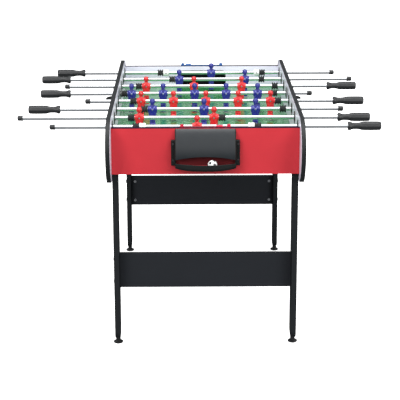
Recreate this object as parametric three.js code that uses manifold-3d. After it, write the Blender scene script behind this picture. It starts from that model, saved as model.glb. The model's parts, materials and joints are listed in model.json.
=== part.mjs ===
// Foosball table on four legs: a cabinet with eight player rods, ball returns, score rails and levelling feet.
// Millimetres, +Z up, +Y along the playing field. The origin is on the floor, under the middle of the whole
// object's box, which the rods' handles make a little wider to one side of the cabinet.
import * as THREE from "three";
import { mergeVertices } from "three/addons/utils/BufferGeometryUtils.js";
import Module from "manifold-3d";

const wasm = await Module();
wasm.setup();

// ---- Driving dimensions ----

const GAP = 0.3; // left between pieces that touch

const CABINET = {
  innerHalfWidth: 287.3,
  sideThickness: 15,
  sideTop: 739.3,
  sideBottom: 542.3,
  noseZ: 646.3, // height at which the curved ends of the side panels stand furthest out
  noseY: 607,
  noseUpperDepth: 115, // how far back from the nose the straight top edge starts
  noseLowerRadius: 113,
  endInnerY: 522,
  endThickness: 16,
  endTop: 713.4,
  endBottom: 568.4,
};
const FIELD = { top: 632.5, thickness: 9 };
const GOAL = { halfWidth: 90, height: 63.5, cornerRadius: 14 };

const ROD = { radius: 6.35, spacing: 130.5, z: 699.7, sides: 12 };
const BEARING = { radius: 20, thickness: 3.5, sides: 12 };
const BUMPER = { radius: 12, waist: 9.4, length: 20.4, sides: 8 };
const COLLAR = { radius: 12, length: 20, offset: 168, sides: 10 };
const HANDLE = { length: 103, radius: 14, waist: 10, collar: 13.5, boreDepth: 78, sides: 8 };
const CAP = { radius: 8.5, length: 17.6 };

const PLAYER = {
  shoulder: 15.5,
  hip: 12.4,
  foot: 10,
  below: 62,
  ankle: 36,
  toeTop: 46,
  headRadius: 9,
  headStretch: 1.22,
  headZ: 24,
  headSides: 7,
  bodyDepth: 16,
  footDepth: 23,
};

const LEG = { thickness: 17, width: 72, y: 485, bottom: 22, toeRadius: 24 };
const STRETCHER = { thickness: 15, fromLegMiddle: 6, bottom: 186.3, top: 299.3 };
const FOOT = { radius: 15, discHeight: 7, neckRadius: 7.5, stemRadius: 4, stemTop: 52, sides: 12 };

const RETURN = {
  hoodHalfWidth: 92.8,
  wall: 2.5,
  hoodTop: 709.7,
  hoodDepth: 36,
  hoodSideBottom: 621,
  archRise: 10,
  wingHalfWidth: 105,
  wingDepth: 14,
  wingTop: 678,
  wingBottom: 598.7,
  trayHalfWidth: 93,
  traySideDepth: 32,
  trayDepth: 57,
  trayBottom: 588.8,
  trayFlat: 70,
  traySideRise: 4,
  trayLip: 609.5,
};
const BALL = { radius: 15, x: 21, depth: 36 };

const SCORE = {
  halfLength: 77.5,
  width: 10,
  stripTop: 715,
  ribWidth: 7.4,
  ribTop: 716.8,
  postTop: 723.4,
  postLength: 12,
};
const MARKER = { length: 20, top: 721.2 };

const ENTRY = { z: 714.6, innerRadius: 16, outerRadius: 17.2, flange: 22, lip: 29, lipHalfWidth: 24, sides: 14 };
const ENTRY_FLANGE_THICKNESS = 2.5;

// The rods from the far end to the near one. shift is where the middle player stands at rest.
const ROLES = {
  goalie: { players: 1, pitch: 0, grip: 570, tail: 456 },
  defence: { players: 2, pitch: 237.5, grip: 615, tail: 506 },
  attack: { players: 3, pitch: 168.4, grip: 573, tail: 456 },
  midfield: { players: 5, pitch: 108.5, grip: 530, tail: 405 },
};
const RODS = [
  { team: "blue", role: "goalie", shift: 34.5 },
  { team: "blue", role: "defence", shift: 35.2, looseBumper: 214.3 },
  { team: "red", role: "attack", shift: -31.3, looseBumper: 254.7 },
  { team: "blue", role: "midfield", shift: -29.3, looseBumper: 244.8 },
  { team: "red", role: "midfield", shift: 7.3 },
  { team: "blue", role: "attack", shift: -0.2, looseBumper: 257.6 },
  { team: "red", role: "defence", shift: -88.7 },
  { team: "red", role: "goalie", shift: -25 },
];
const SIDES = [
  { name: "left", x: -1 },
  { name: "right", x: 1 },
];
const ENDS = [
  { name: "front", y: -1, markerX: 43 },
  { name: "rear", y: 1, markerX: -50 },
];

// Blue handles stand out on the left, red ones on the right.
const gripSide = (rod) => (rod.team === "blue" ? -1 : 1);
// The corner radius of a many-sided bore whose flat sides stay clear of a rod.
const boreCorner = (sides) => (ROD.radius + GAP) / Math.cos(Math.PI / sides);
const rodY = (index) => ((RODS.length - 1) / 2 - index) * ROD.spacing;
const endOuterY = CABINET.endInnerY + CABINET.endThickness;
const bearingFace = CABINET.innerHalfWidth - BEARING.thickness;

// ---- Materials ----

const finish = (color, roughness, metalness = 0) =>
  new THREE.MeshStandardMaterial({ color, roughness, metalness });
const MATERIALS = {
  side: finish(0x232628, 0.55),
  end: finish(0xd8343f, 0.45),
  field: finish(0x2f8a50, 0.3),
  leg: finish(0x1d2022, 0.6),
  steel: finish(0xc9ccd0, 0.22, 1),
  plastic: finish(0x17191b, 0.5),
  rubber: finish(0x1b1d1f, 0.85),
  white: finish(0xf2f2f0, 0.5),
  red: finish(0xd83a40, 0.35),
  blue: finish(0x2b3192, 0.35),
};

// ---- Solids ----

// A closed three.js geometry as a solid that can be joined and cut.
function solid(geometry) {
  const bare = new THREE.BufferGeometry();
  const source = geometry.index ? geometry.toNonIndexed() : geometry;
  bare.setAttribute("position", source.getAttribute("position"));
  const merged = mergeVertices(bare, 1e-4);
  return new wasm.Manifold(
    new wasm.Mesh({
      numProp: 3,
      vertProperties: merged.attributes.position.array,
      triVerts: new Uint32Array(merged.index.array),
    }),
  );
}

const joined = (...solids) => solids.reduce((whole, piece) => whole.add(piece));
const cut = (whole, ...cutters) => cutters.reduce((rest, cutter) => rest.subtract(cutter), whole);

function block(x0, x1, y0, y1, z0, z1) {
  const box = new THREE.BoxGeometry(x1 - x0, y1 - y0, z1 - z0);
  return solid(box.translate((x0 + x1) / 2, (y0 + y1) / 2, (z0 + z1) / 2));
}

// A round bar along X.
function barX(radius, x0, x1, y, z, sides) {
  const bar = new THREE.CylinderGeometry(radius, radius, x1 - x0, sides);
  return solid(bar.rotateZ(Math.PI / 2).translate((x0 + x1) / 2, y, z));
}

// A round bar along Y.
function barY(radius, y0, y1, x, z, sides) {
  const bar = new THREE.CylinderGeometry(radius, radius, y1 - y0, sides);
  return solid(bar.translate(x, (y0 + y1) / 2, z));
}

const outline = (points) => new THREE.Shape(points.map(([a, b]) => new THREE.Vector2(a, b)));

const extruded = (shape, depth, curveSegments = 10) =>
  new THREE.ExtrudeGeometry(shape, { depth, bevelEnabled: false, curveSegments });

// A shape drawn in Y and Z, thick along X from x0 to x1.
function plateX(shape, x0, x1, curveSegments) {
  const plate = extruded(shape, x1 - x0, curveSegments);
  return solid(plate.rotateY(Math.PI / 2).rotateX(Math.PI / 2).translate(x0, 0, 0));
}

// A shape drawn in X and Z, thick along Y from y0 to y1.
function plateY(shape, y0, y1, curveSegments) {
  const plate = extruded(shape, y1 - y0, curveSegments);
  return solid(plate.rotateX(Math.PI / 2).translate(0, y1, 0));
}

// A shape drawn in X and Y, thick along Z from z0 to z1.
function plateZ(shape, z0, z1, curveSegments) {
  return solid(extruded(shape, z1 - z0, curveSegments).translate(0, 0, z0));
}

// A closed profile of [along, radius] points turned about X, running towards +X or -X from x.
function turnedX(profile, x, y, z, direction, sides) {
  const points = profile.map(([along, radius]) => new THREE.Vector2(radius, along));
  const lathe = new THREE.LatheGeometry([...points, points[0].clone()], sides);
  return solid(lathe.rotateZ((-direction * Math.PI) / 2).translate(x, y, z));
}

// A closed profile of [radius, height] points turned about Z.
function turnedZ(profile, x, y, z, sides) {
  const points = profile.map(([radius, height]) => new THREE.Vector2(radius, height));
  const lathe = new THREE.LatheGeometry([...points, points[0].clone()], sides);
  return solid(lathe.rotateX(Math.PI / 2).translate(x, y, z));
}

function node(name, made, material) {
  const { vertProperties, triVerts } = made.getMesh();
  const geometry = new THREE.BufferGeometry();
  geometry.setAttribute("position", new THREE.BufferAttribute(new Float32Array(vertProperties), 3));
  geometry.setIndex([...triVerts]);
  geometry.computeVertexNormals();
  const mesh = new THREE.Mesh(geometry, MATERIALS[material]);
  mesh.name = name;
  return mesh;
}

// ---- Cabinet ----

// Straight top and bottom edges, and at each end a nose that curves back above and below its widest height.
function sidePanelShape() {
  const { sideTop, sideBottom, noseZ, noseY, noseUpperDepth, noseLowerRadius } = CABINET;
  const drop = noseZ - sideBottom;
  const lowerAngle = Math.asin(drop / noseLowerRadius);
  const upperY = noseY - noseUpperDepth;
  const lowerY = noseY - noseLowerRadius;
  const shape = new THREE.Shape();
  shape.moveTo(-upperY, sideTop);
  shape.lineTo(upperY, sideTop);
  shape.absellipse(upperY, noseZ, noseUpperDepth, sideTop - noseZ, Math.PI / 2, 0, true);
  shape.absarc(lowerY, noseZ, noseLowerRadius, 0, -lowerAngle, true);
  shape.absarc(-lowerY, noseZ, noseLowerRadius, -Math.PI + lowerAngle, -Math.PI, true);
  shape.absellipse(-upperY, noseZ, noseUpperDepth, sideTop - noseZ, Math.PI, Math.PI / 2, true);
  return shape;
}

// A side board with the eight rod bearings on its inner face and the hole through which the ball is served.
function sidePanel({ name, x }) {
  const inner = x * CABINET.innerHalfWidth;
  const outer = x * (CABINET.innerHalfWidth + CABINET.sideThickness);
  const [x0, x1] = [Math.min(inner, outer), Math.max(inner, outer)];
  const board = plateX(sidePanelShape(), x0, x1, 8);
  const face = x * bearingFace;
  const [b0, b1] = [Math.min(face, inner + x), Math.max(face, inner + x)];
  const bearings = RODS.map((_, i) => barX(BEARING.radius, b0, b1, rodY(i), ROD.z, BEARING.sides));
  const bores = RODS.map((_, i) => barX(boreCorner(BEARING.sides), x0 - 10, x1 + 10, rodY(i), ROD.z, BEARING.sides));
  const serveHole = barX(ENTRY.outerRadius + GAP, x0 - 10, x1 + 10, 0, ENTRY.z, ENTRY.sides);
  return node(`side_panel_${name}`, cut(joined(board, ...bearings), ...bores, serveHole), "side");
}

// The goal mouth stands on the field and has rounded upper corners.
function goalShape() {
  const { halfWidth, height, cornerRadius: r } = GOAL;
  const top = FIELD.top + height;
  const shape = new THREE.Shape();
  shape.moveTo(-halfWidth, FIELD.top);
  shape.lineTo(halfWidth, FIELD.top);
  shape.absarc(halfWidth - r, top - r, r, 0, Math.PI / 2, false);
  shape.absarc(-halfWidth + r, top - r, r, Math.PI / 2, Math.PI, false);
  return shape;
}

function endPanel({ name, y }) {
  const halfWidth = CABINET.innerHalfWidth - GAP;
  const near = y * CABINET.endInnerY;
  const far = y * endOuterY;
  const [y0, y1] = [Math.min(near, far), Math.max(near, far)];
  const board = block(-halfWidth, halfWidth, y0, y1, CABINET.endBottom, CABINET.endTop);
  const mouth = plateY(goalShape(), y0 - 5, y1 + 5, 4);
  return node(`end_panel_${name}`, cut(board, mouth), "end");
}

function playfield() {
  const x = CABINET.innerHalfWidth - GAP;
  const y = CABINET.endInnerY - GAP;
  return node("playfield", block(-x, x, -y, y, FIELD.top - FIELD.thickness, FIELD.top), "field");
}

// ---- Legs and feet ----

const legCentreX = CABINET.innerHalfWidth - GAP - LEG.thickness / 2;

function leg(side, end) {
  const half = LEG.width / 2;
  const top = FIELD.top - FIELD.thickness - GAP;
  const toe = LEG.bottom + LEG.toeRadius;
  const shape = new THREE.Shape();
  shape.moveTo(-half, top);
  shape.lineTo(half, top);
  shape.lineTo(half, toe);
  shape.absarc(half - LEG.toeRadius, toe, LEG.toeRadius, 0, -Math.PI / 2, true);
  shape.absarc(-half + LEG.toeRadius, toe, LEG.toeRadius, -Math.PI / 2, -Math.PI, true);
  const x0 = side.x * legCentreX - LEG.thickness / 2;
  const board = plateX(shape, x0, x0 + LEG.thickness, 5).translate([0, end.y * LEG.y, 0]);
  const socketTop = FOOT.stemTop + 10;
  const socketRadius = FOOT.stemRadius + GAP;
  const socket = turnedZ(
    [[0, 0], [socketRadius, 0], [socketRadius, socketTop], [0, socketTop]],
    side.x * legCentreX, end.y * LEG.y, 0, 10,
  );
  return node(`leg_${end.name}_${side.name}`, cut(board, socket), "leg");
}

// A levelling foot: a disc, a neck and a stem that screws into the leg.
function foot(side, end) {
  const shoulder = LEG.bottom - GAP;
  const profile = [
    [0, 0],
    [FOOT.radius, 0],
    [FOOT.radius, FOOT.discHeight - 2],
    [FOOT.radius - 2, FOOT.discHeight],
    [FOOT.neckRadius, FOOT.discHeight + 2],
    [FOOT.neckRadius, shoulder],
    [FOOT.stemRadius, shoulder],
    [FOOT.stemRadius, FOOT.stemTop],
    [0, FOOT.stemTop],
  ];
  const made = turnedZ(profile, side.x * legCentreX, end.y * LEG.y, 0, FOOT.sides);
  return node(`foot_${end.name}_${side.name}`, made, "plastic");
}

function stretcher(end) {
  const x = legCentreX - LEG.thickness / 2 - GAP;
  const y0 = end.y * (LEG.y - STRETCHER.fromLegMiddle) - STRETCHER.thickness / 2;
  const made = block(-x, x, y0, y0 + STRETCHER.thickness, STRETCHER.bottom, STRETCHER.top);
  return node(`stretcher_${end.name}`, made, "leg");
}

// ---- Ball return, drawn for the front end with its depth measured out from the end panel ----

// The curve of the hood from the panel's top edge, out and down to its lower edge.
function hoodShape(inset) {
  const { hoodTop, hoodDepth, hoodSideBottom } = RETURN;
  const top = hoodTop - inset;
  const depth = hoodDepth - inset;
  const shape = new THREE.Shape();
  shape.moveTo(GAP, hoodSideBottom);
  shape.lineTo(GAP, top);
  shape.bezierCurveTo(depth * 0.45, top - 16, depth, top - 52, depth, hoodSideBottom);
  return shape;
}

// Depth and Z drawn as a shape become -Y and Z at the front end panel.
function atFrontPanel(shape, x0, x1, curveSegments) {
  return plateX(shape, x0, x1, curveSegments)
    .mirror([0, 1, 0])
    .translate([0, -endOuterY, 0]);
}

function hood() {
  const { hoodHalfWidth: half, wall, archRise, hoodSideBottom } = RETURN;
  const full = atFrontPanel(hoodShape(0), -half, half, 8);
  const hollow = atFrontPanel(hoodShape(wall), -half + wall, half - wall, 8);
  const archRadius = (half ** 2 + archRise ** 2) / (2 * archRise);
  const archZ = hoodSideBottom + archRise - archRadius;
  const lowEdge = hollow.translate([0, 0, -1]);
  const behindHood = endOuterY + 0.5 * RETURN.hoodDepth;
  const arch = barY(archRadius, -endOuterY - 60, -behindHood, 0, archZ, 96);
  return cut(full, hollow, lowEdge, arch);
}

function trayPlan(inset) {
  const { trayHalfWidth, traySideDepth, trayDepth } = RETURN;
  const half = trayHalfWidth - inset;
  const sag = trayDepth - traySideDepth;
  const radius = (trayHalfWidth ** 2 + sag ** 2) / (2 * sag) - inset;
  const centre = trayDepth - inset - radius;
  const side = centre + Math.sqrt(radius ** 2 - half ** 2);
  const angle = Math.atan2(side - centre, half);
  const shape = new THREE.Shape();
  shape.moveTo(-half, GAP - 5 * Math.sign(inset));
  shape.lineTo(half, GAP - 5 * Math.sign(inset));
  shape.lineTo(half, side);
  shape.absarc(0, centre, radius, angle, Math.PI - angle, false);
  return shape;
}

function trayFront(inset) {
  const { trayHalfWidth, trayBottom, trayFlat, traySideRise, trayLip } = RETURN;
  const half = trayHalfWidth - inset;
  const bottom = trayBottom + inset;
  const top = trayLip + inset;
  return outline([
    [-half, top], [-half, bottom + traySideRise], [-trayFlat, bottom],
    [trayFlat, bottom], [half, bottom + traySideRise], [half, top],
  ]);
}

function tray() {
  const bowl = (inset) =>
    plateZ(trayPlan(inset), RETURN.trayBottom - 20, RETURN.trayLip + 20, 14)
      .mirror([0, 1, 0])
      .translate([0, -endOuterY, 0])
      .intersect(plateY(trayFront(inset), -endOuterY - 80, -endOuterY + 10));
  return cut(bowl(0), bowl(RETURN.wall));
}

// The hood, the wings beside it and the tray below are one moulding, open behind against the end panel.
function ballReturn({ name, y }) {
  const { hoodHalfWidth, wingHalfWidth, wingDepth, wingTop, wingBottom } = RETURN;
  const wings = SIDES.map(({ x }) => {
    const [a, b] = [x * (hoodHalfWidth - 1), x * wingHalfWidth];
    const [x0, x1] = [Math.min(a, b), Math.max(a, b)];
    return block(x0, x1, -endOuterY - wingDepth, -endOuterY - GAP, wingBottom, wingTop);
  });
  const whole = joined(hood(), tray(), ...wings);
  const placed = y < 0 ? whole : whole.rotate([0, 0, 180]);
  return node(`ball_return_${name}`, placed, "plastic");
}

function ball() {
  const sphere = new THREE.IcosahedronGeometry(BALL.radius, 2);
  const z = RETURN.trayBottom + RETURN.wall + GAP + BALL.radius;
  return node("ball", solid(sphere.translate(BALL.x, -endOuterY - BALL.depth, z)), "white");
}

// ---- Score rails on top of the end panels ----

const scoreY = (end) => end.y * (CABINET.endInnerY + CABINET.endThickness / 2);

// A strip with a rib along its middle and a post at each end.
function scoreRail(end) {
  const { halfLength, width, stripTop, ribWidth, ribTop, postTop, postLength } = SCORE;
  const y = scoreY(end);
  const base = CABINET.endTop + GAP;
  const [y0, y1] = [y - width / 2, y + width / 2];
  const strip = block(-halfLength, halfLength, y0, y1, base, stripTop);
  const rib = block(-halfLength + 1, halfLength - 1, y - ribWidth / 2, y + ribWidth / 2, base, ribTop);
  const posts = SIDES.map(({ x }) => {
    const inner = halfLength - postLength;
    const [x0, x1] = x < 0 ? [-halfLength, -inner] : [inner, halfLength];
    return block(x0, x1, y0, y1, base, postTop);
  });
  return node(`score_rail_${end.name}`, joined(strip, rib, ...posts), end.y < 0 ? "red" : "blue");
}

// The marker that straddles the rib and slides between the posts.
function scoreMarker(end) {
  const y = scoreY(end);
  const half = SCORE.width / 2;
  const slot = SCORE.ribWidth / 2 + GAP;
  const x0 = end.markerX - MARKER.length / 2;
  const x1 = x0 + MARKER.length;
  const body = block(x0, x1, y - half, y + half, SCORE.stripTop + GAP, MARKER.top);
  const groove = block(x0 - 1, x1 + 1, y - slot, y + slot, SCORE.stripTop, SCORE.ribTop + GAP);
  return node(`score_marker_${end.name}`, cut(body, groove), end.y < 0 ? "red" : "blue");
}

// ---- Ball entries in the side panels ----

function ballEntry({ name, x }) {
  const { z, innerRadius, outerRadius, flange, lip, lipHalfWidth, sides } = ENTRY;
  const face = CABINET.innerHalfWidth + CABINET.sideThickness + GAP;
  const sleeve = barX(outerRadius, CABINET.innerHalfWidth, face + 1, 0, z, sides);
  const ring = barX(flange, face, face + ENTRY_FLANGE_THICKNESS, 0, z, sides);
  const [low, high, tip] = [z - 21.5, z - 12, z - 17.3];
  const wedge = plateY(
    outline([[face, low], [face + lip, low + 1], [face + lip, tip], [face, high]]),
    -lipHalfWidth, lipHalfWidth,
  );
  const plan = new THREE.Shape();
  plan.moveTo(face, -lipHalfWidth);
  plan.absellipse(face, 0, lip, lipHalfWidth, -Math.PI / 2, Math.PI / 2, false);
  const spout = wedge.intersect(plateZ(plan, low - 5, high + 5, 12));
  const way = barX(innerRadius, CABINET.innerHalfWidth - 5, face + lip + 5, 0, z, sides);
  const made = cut(joined(sleeve, ring, spout), way);
  return node(`ball_entry_${name}`, x > 0 ? made : made.rotate([0, 0, 180]), "plastic");
}

// ---- Player rods ----

// One player about the rod's axis: a block foot, legs, a torso with sloping shoulders, and an oval head.
function player(x, y) {
  const { shoulder, hip, foot: toe, below, ankle, toeTop, bodyDepth, footDepth } = PLAYER;
  const { headRadius, headStretch, headZ, headSides } = PLAYER;
  const half = [
    [toe, -below], [toe - 1, -ankle], [hip, -22], [hip, -14],
    [shoulder - 1, -9], [shoulder, -3], [shoulder, 2], [12.5, 9], [4.5, 13.5], [4, headZ],
  ];
  const left = half.map(([a, b]) => [-a, b]).reverse();
  const body = plateY(outline([...half, ...left]), -bodyDepth / 2, bodyDepth / 2);
  const boot = block(-toe, toe, -footDepth / 2, footDepth / 2, -below, -toeTop);
  const ballHead = new THREE.SphereGeometry(headRadius, headSides, headSides - 2);
  const head = solid(ballHead.rotateX(Math.PI / 2).scale(1, 1, headStretch).translate(0, 0, headZ));
  return joined(body, boot, head).translate([x, y, ROD.z]);
}

function playerPlaces(rod) {
  const { players, pitch } = ROLES[rod.role];
  return Array.from({ length: players }, (_, i) => rod.shift + (i - (players - 1) / 2) * pitch);
}

// The rod, its end cap and its players are one node. The rod's end stays inside the handle.
function playerRod(rod, index) {
  const { grip, tail } = ROLES[rod.role];
  const toGrip = gripSide(rod);
  const y = rodY(index);
  const gripEnd = rod.shift + toGrip * (grip - HANDLE.length + HANDLE.boreDepth - 2);
  const tailEnd = rod.shift - toGrip * tail;
  const capStart = tailEnd + toGrip * CAP.length;
  const [x0, x1] = [Math.min(gripEnd, tailEnd), Math.max(gripEnd, tailEnd)];
  const [c0, c1] = [Math.min(tailEnd, capStart), Math.max(tailEnd, capStart)];
  const bar = barX(ROD.radius, x0, x1, y, ROD.z, ROD.sides);
  const cap = barX(CAP.radius, c0, c1, y, ROD.z, ROD.sides);
  const players = playerPlaces(rod).map((x) => player(x, y));
  return node(`${rod.team}_${rod.role}_rod`, joined(bar, cap, ...players), rod.team);
}

function handle(rod, index) {
  const { length, radius, waist, collar, boreDepth, sides } = HANDLE;
  const bore = boreCorner(sides);
  const profile = [
    [0, 0], [0, radius - 3], [4, radius], [62, radius], [73, waist], [87, waist],
    [97, collar], [length, collar - 0.5], [length, bore], [length - boreDepth, bore],
    [length - boreDepth, 0],
  ];
  const toGrip = gripSide(rod);
  const x = rod.shift + toGrip * ROLES[rod.role].grip;
  const made = turnedX(profile, x, rodY(index), ROD.z, -toGrip, sides);
  return node(`${rod.team}_${rod.role}_handle`, made, "plastic");
}

// A rubber ring with three ribs, loose on the rod between the players and the wall.
function bumper(rod, index, side, centre) {
  const { radius, waist, length, sides } = BUMPER;
  const bore = boreCorner(sides);
  const profile = [
    [0, bore], [0, radius], [0.18 * length, radius], [0.3 * length, waist], [0.7 * length, waist],
    [0.82 * length, radius], [length, radius], [length, bore],
  ];
  const made = turnedX(profile, centre - length / 2, rodY(index), ROD.z, 1, sides);
  return node(`${rod.team}_${rod.role}_bumper_${side.name}`, made, "rubber");
}

function collar(rod, index, side) {
  const { radius, length, offset, sides } = COLLAR;
  const bore = boreCorner(sides);
  const profile = [[0, bore], [0, radius], [length, radius], [length, bore]];
  const x = rod.shift + side.x * offset - length / 2;
  const made = turnedX(profile, x, rodY(index), ROD.z, 1, sides);
  return node(`${rod.team}_${rod.role}_collar_${side.name}`, made, "white");
}

// A bumper touches the outermost player, or the stop collar of a goalie's rod. A loose one lies further out.
function bumperCentre(rod, side) {
  if (side.x > 0 && rod.looseBumper) return rod.looseBumper;
  const { players, pitch } = ROLES[rod.role];
  const stop =
    rod.role === "goalie" ? COLLAR.offset + COLLAR.length / 2 : ((players - 1) / 2) * pitch + PLAYER.shoulder;
  return rod.shift + side.x * (stop + GAP + BUMPER.length / 2);
}

function rodSet(rod, index) {
  const bumpers = SIDES.map((side) => bumper(rod, index, side, bumperCentre(rod, side)));
  const collars = rod.role === "goalie" ? SIDES.map((side) => collar(rod, index, side)) : [];
  return [playerRod(rod, index), handle(rod, index), ...bumpers, ...collars];
}

// ---- Assembly ----

// How far the rods reach past the cabinet's middle on each side decides where the cabinet stands.
function cabinetX() {
  const ends = RODS.flatMap((rod) => {
    const { grip, tail } = ROLES[rod.role];
    return [rod.shift + gripSide(rod) * grip, rod.shift - gripSide(rod) * tail];
  });
  return -(Math.min(...ends) + Math.max(...ends)) / 2;
}

const table = new THREE.Group();
table.add(
  ...SIDES.map(sidePanel),
  ...ENDS.map(endPanel),
  playfield(),
  ...ENDS.flatMap((end) => SIDES.flatMap((side) => [leg(side, end), foot(side, end)])),
  ...ENDS.map(stretcher),
  ...ENDS.map(ballReturn),
  ball(),
  ...ENDS.flatMap((end) => [scoreRail(end), scoreMarker(end)]),
  ...SIDES.map(ballEntry),
  ...RODS.flatMap(rodSet),
);
table.position.x = cabinetX();

export default table;
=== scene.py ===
"""Foosball table on four legs, seen from its red end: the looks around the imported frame.

Lengths are in millimetres, and become metres (times MM) where a mesh or a node tree is made. Places come
from the frame's nodes and joints. Boards have rounded edges and a lining, mouldings a wall thickness, and
each rod its tube, grip, cap, players and fasteners.
"""

import json
import math

import bmesh
import bpy
from mathutils import Matrix, Vector

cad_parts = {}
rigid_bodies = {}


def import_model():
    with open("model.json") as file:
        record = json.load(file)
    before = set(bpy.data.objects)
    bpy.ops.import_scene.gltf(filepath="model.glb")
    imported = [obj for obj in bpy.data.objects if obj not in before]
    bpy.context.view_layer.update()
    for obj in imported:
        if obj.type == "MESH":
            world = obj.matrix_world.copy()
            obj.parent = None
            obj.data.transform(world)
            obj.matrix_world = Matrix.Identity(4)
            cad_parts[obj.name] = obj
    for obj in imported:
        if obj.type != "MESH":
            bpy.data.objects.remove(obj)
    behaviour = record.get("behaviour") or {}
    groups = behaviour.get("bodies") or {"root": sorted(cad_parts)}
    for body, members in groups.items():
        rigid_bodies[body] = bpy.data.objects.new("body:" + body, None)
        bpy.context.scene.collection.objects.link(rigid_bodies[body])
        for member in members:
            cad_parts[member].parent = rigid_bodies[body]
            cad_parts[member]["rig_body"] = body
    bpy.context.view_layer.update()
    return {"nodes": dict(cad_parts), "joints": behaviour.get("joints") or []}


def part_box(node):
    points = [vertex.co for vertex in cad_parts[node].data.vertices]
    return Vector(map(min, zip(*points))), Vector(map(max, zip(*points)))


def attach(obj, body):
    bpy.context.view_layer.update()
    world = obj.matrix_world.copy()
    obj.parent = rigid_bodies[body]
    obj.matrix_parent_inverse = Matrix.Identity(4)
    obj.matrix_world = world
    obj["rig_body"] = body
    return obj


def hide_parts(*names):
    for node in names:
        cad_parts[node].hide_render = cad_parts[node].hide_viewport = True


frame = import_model()

MM = 0.001


def box_mm(node):
    """Lowest and highest corner of a CAD node, in millimetres."""
    low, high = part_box(node)
    return low / MM, high / MM


# ---- Places, from the frame ----

FIELD_LOW, FIELD_HIGH = box_mm("playfield")
MID_X = (FIELD_LOW.x + FIELD_HIGH.x) / 2
FIELD_TOP = FIELD_HIGH.z
BEARING_THICKNESS = 3.5
SIDE_LOW, SIDE_HIGH = box_mm("side_panel_right")
BEARING_FACE = SIDE_LOW.x - MID_X
SIDE_INNER = BEARING_FACE + BEARING_THICKNESS
SIDE_OUTER = SIDE_HIGH.x - MID_X
END_LOW, END_HIGH = box_mm("end_panel_rear")
END_INNER, END_OUTER = END_LOW.y, END_HIGH.y
STRETCHER_LOW, STRETCHER_HIGH = box_mm("stretcher_rear")
LEG_LOW, LEG_HIGH = box_mm("leg_rear_right")
LEG_Y = (LEG_LOW.y + LEG_HIGH.y) / 2
LEG_INNER = LEG_LOW.x - MID_X
LEG_OUTER = LEG_HIGH.x - MID_X

SPIN = "_spin"
RODS = {
    joint["name"].removesuffix(SPIN): Vector(joint["pos_m"]) / MM
    for joint in frame["joints"]
    if joint["name"].endswith(SPIN)
}
SIDES = {"left": -1, "right": 1}
ENDS = {"front": -1, "rear": 1}
TABLE = "table"

# ---- Sizes of what the frame doesn't state ----

NOSE = {"z": 646.3, "y": 607, "upper_depth": 115, "lower_radius": 113}
LINING = 0.8
GOAL = {"half_width": 90, "height": 63.5, "corner": 14}
ROD_RADIUS = 6.35
ROD_BORE = 6.65
PLAYERS = {"goalie": (1, 0), "defence": (2, 237.5), "attack": (3, 168.4), "midfield": (5, 108.5)}
ENTRY = {"flange": 22, "sleeve": 17.2, "bore": 16, "lip": 29, "lip_half": 24}

# ---- Mesh helpers ----


def along_x(u, v, w):
    return (w, u, v)


def along_y(u, v, w):
    return (u, w, v)


def along_z(u, v, w):
    return (u, v, w)


def arc(centre, radii, start, end, steps):
    """Points along an ellipse's arc, with its angles in degrees."""
    angles = [math.radians(start + (end - start) * i / steps) for i in range(steps + 1)]
    return [(centre[0] + radii[0] * math.cos(a), centre[1] + radii[1] * math.sin(a)) for a in angles]


def circle(centre, radius, steps=32):
    return arc(centre, (radius, radius), 0, 360, steps)[:-1]


def span(side, first, second, middle=0.0):
    """Two distances from the middle, to that side of it, lower place first."""
    return sorted((middle + side * first, middle + side * second))


def rectangle(u0, v0, u1, v1):
    return [(u0, v0), (u1, v0), (u1, v1), (u0, v1)]


def rounded(points, radius, steps=4):
    """A closed outline with each corner replaced by a curve that starts radius before it."""
    made = []
    for i, corner in enumerate(points):
        here = Vector(corner)
        ends = []
        for other in (points[i - 1], points[(i + 1) % len(points)]):
            away = Vector(other) - here
            ends.append(here + away.normalized() * min(radius, away.length * 0.49))
        for step in range(steps + 1):
            t = step / steps
            made.append((1 - t) ** 2 * ends[0] + 2 * t * (1 - t) * here + t * t * ends[1])
    return [tuple(point) for point in made]


def grown(loop, amount):
    """A counterclockwise outline moved outward by amount, inward if amount is negative."""
    made = []
    for i, point in enumerate(loop):
        before = Vector(point) - Vector(loop[i - 1])
        after = Vector(loop[(i + 1) % len(loop)]) - Vector(point)
        out_before = Vector((before.y, -before.x)).normalized()
        out_after = Vector((after.y, -after.x)).normalized()
        mitre = (out_before + out_after) / max(0.3, 1 + out_before.dot(out_after))
        made.append(tuple(Vector(point) + mitre * amount))
    return made


def ring(bm, points):
    return [bm.verts.new(Vector(point) * MM) for point in points]


def face(bm, corners, look=0):
    made = bm.faces.new(corners)
    made.material_index = look
    return made


def band(bm, first, second, look=0, closed=True):
    """Faces between two rows of vertices. A row of one vertex is a pole."""
    count = max(len(first), len(second))
    for i in range(count if closed else count - 1):
        j = (i + 1) % count
        if len(first) == 1:
            corners = (first[0], second[j], second[i])
        elif len(second) == 1:
            corners = (first[i], first[j], second[0])
        else:
            corners = (first[i], first[j], second[j], second[i])
        face(bm, corners, look)


def bands(bm, rings, look=0, closed=True):
    """Faces along a row of rings."""
    for first, second in zip(rings, rings[1:]):
        band(bm, first, second, look, closed)


def fill(bm, loops, look=0):
    """Fills a flat outline, with holes if there is more than one loop."""
    if len(loops) == 1:
        face(bm, loops[0], look)
        return
    edges = [bm.edges.get((loop[i - 1], loop[i])) for loop in loops for i in range(len(loop))]
    made = bmesh.ops.triangle_fill(bm, use_beauty=True, use_dissolve=False, edges=edges)
    for item in made["geom"]:
        if isinstance(item, bmesh.types.BMFace):
            item.material_index = look


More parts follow.
